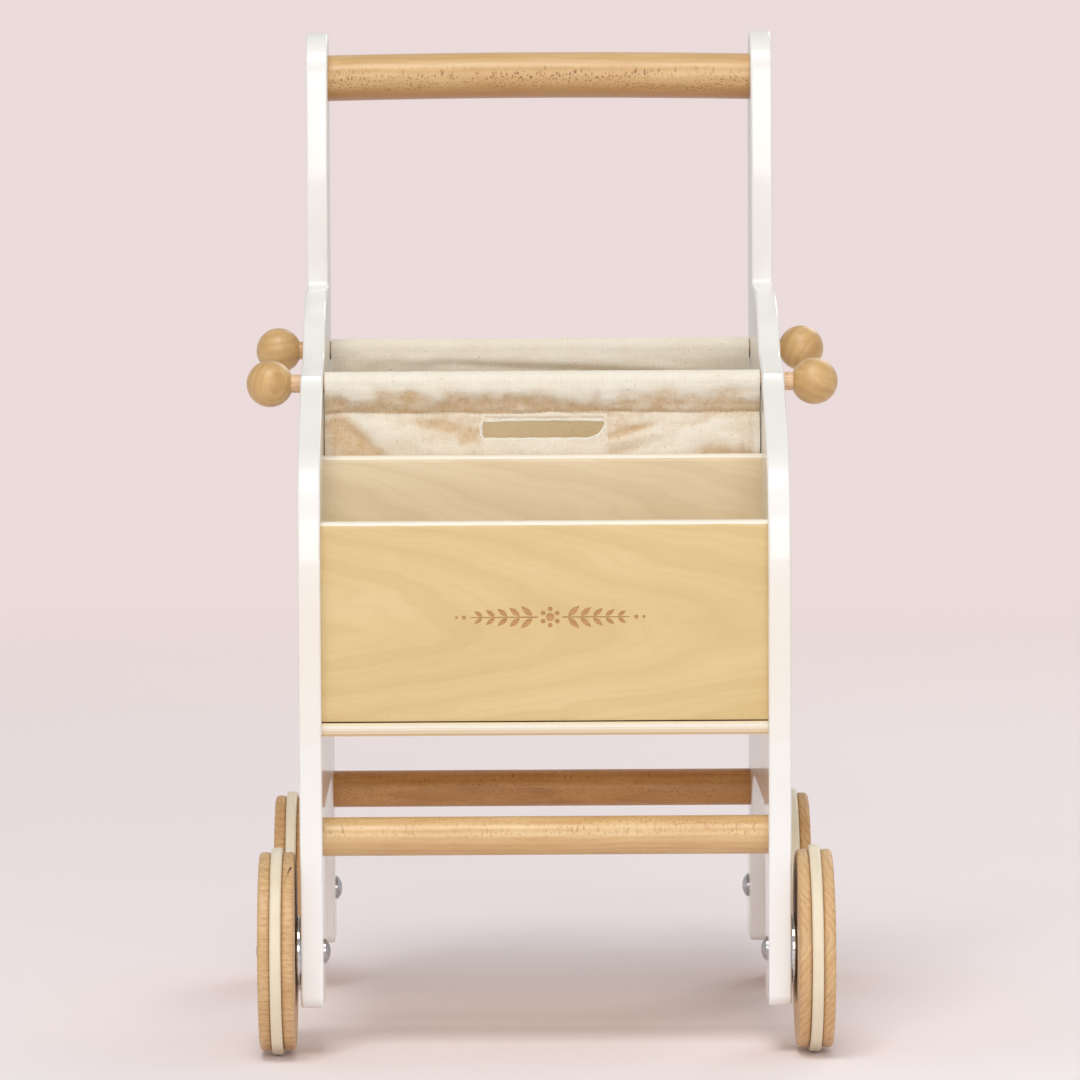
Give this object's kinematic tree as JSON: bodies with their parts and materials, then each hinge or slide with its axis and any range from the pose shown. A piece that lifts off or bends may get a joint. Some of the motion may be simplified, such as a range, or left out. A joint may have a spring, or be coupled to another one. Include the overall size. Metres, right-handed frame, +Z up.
{
  "type": "wooden toy push trolley",
  "caption": "Toy push trolley with painted side panels, round handle bar, shelf with front pocket, canvas bag hung on rods with ball knobs, and wooden wheels.",
  "frame": {"origin": "on the floor, midway between the side panels and midway between the axles", "axes": "+Z up, -Y towards the front (away from the child who pushes), +X across to the right when seen from the front"},
  "size_m": [0.3192, 0.395, 0.5425],
  "materials": {
    "white_painted_wood": "satin white paint",
    "beech": "clear satin lacquer",
    "birch_plywood": "clear satin lacquer",
    "canvas": "unbleached plain weave",
    "knob_wood": "turned, satin lacquer",
    "wheel_wood": "turned, satin lacquer",
    "cream_rubber": "matt",
    "bright_steel": "bright plated",
    "screw_steel": "zinc plated",
    "bush_brass": "plain"
  },
  "bodies": {
    "frame": {"side_panel_left": "white_painted_wood", "side_panel_right": "white_painted_wood", "handle_bar": "beech", "front_cross_dowel": "beech", "rear_cross_dowel": "beech", "base_shelf": "birch_plywood", "front_board": "birch_plywood", "pocket_divider": "birch_plywood", "bag_main": "canvas", "bag_gusset_left": "canvas", "bag_gusset_right": "canvas", "bag_slot_facing": "canvas", "handle_screws": "screw_steel", "cross_dowel_screws": "screw_steel", "shelf_screws": "screw_steel", "front_board_screws": "screw_steel", "divider_screws": "screw_steel", "axle_bolts": "bright_steel", "axle_sleeves": "bright_steel", "hub_washers": "bright_steel"},
    "front_rod_body": {"front_rod": "beech"},
    "front_knobs": {"front_knob_left": "knob_wood", "front_knob_right": "knob_wood"},
    "rear_rod_body": {"rear_rod": "beech"},
    "rear_knobs": {"rear_knob_left": "knob_wood", "rear_knob_right": "knob_wood"},
    "front_left_wheel": {"front_left_outer_disc": "wheel_wood", "front_left_inner_disc": "wheel_wood", "front_left_ring": "cream_rubber", "front_left_bush": "bush_brass"},
    "front_right_wheel": {"front_right_outer_disc": "wheel_wood", "front_right_inner_disc": "wheel_wood", "front_right_ring": "cream_rubber", "front_right_bush": "bush_brass"},
    "rear_left_wheel": {"rear_left_outer_disc": "wheel_wood", "rear_left_inner_disc": "wheel_wood", "rear_left_ring": "cream_rubber", "rear_left_bush": "bush_brass"},
    "rear_right_wheel": {"rear_right_outer_disc": "wheel_wood", "rear_right_inner_disc": "wheel_wood", "rear_right_ring": "cream_rubber", "rear_right_bush": "bush_brass"}
  },
  "joints": [
    {"name": "front_rod_slide", "type": "slide", "parent": "frame", "child": "front_rod_body", "axis": [1, 0, 0], "range_m": [-0.004, 0.004]},
    {"name": "front_knobs_turn", "type": "hinge", "parent": "front_rod_body", "child": "front_knobs", "pos_m": [0, -0.0645, 0.3533], "axis": [1, 0, 0], "continuous": true},
    {"name": "rear_rod_slide", "type": "slide", "parent": "frame", "child": "rear_rod_body", "axis": [1, 0, 0], "range_m": [-0.004, 0.004]},
    {"name": "rear_knobs_turn", "type": "hinge", "parent": "rear_rod_body", "child": "rear_knobs", "pos_m": [0, 0.0995, 0.3643], "axis": [1, 0, 0], "continuous": true},
    {"name": "front_left_wheel_spin", "type": "hinge", "parent": "frame", "child": "front_left_wheel", "pos_m": [-0.1425, -0.1425, 0.055], "axis": [1, 0, 0], "continuous": true},
    {"name": "front_right_wheel_spin", "type": "hinge", "parent": "frame", "child": "front_right_wheel", "pos_m": [0.1425, -0.1425, 0.055], "axis": [1, 0, 0], "continuous": true},
    {"name": "rear_left_wheel_spin", "type": "hinge", "parent": "frame", "child": "rear_left_wheel", "pos_m": [-0.1425, 0.1425, 0.055], "axis": [1, 0, 0], "continuous": true},
    {"name": "rear_right_wheel_spin", "type": "hinge", "parent": "frame", "child": "rear_right_wheel", "pos_m": [0.1425, 0.1425, 0.055], "axis": [1, 0, 0], "continuous": true}
  ]
}
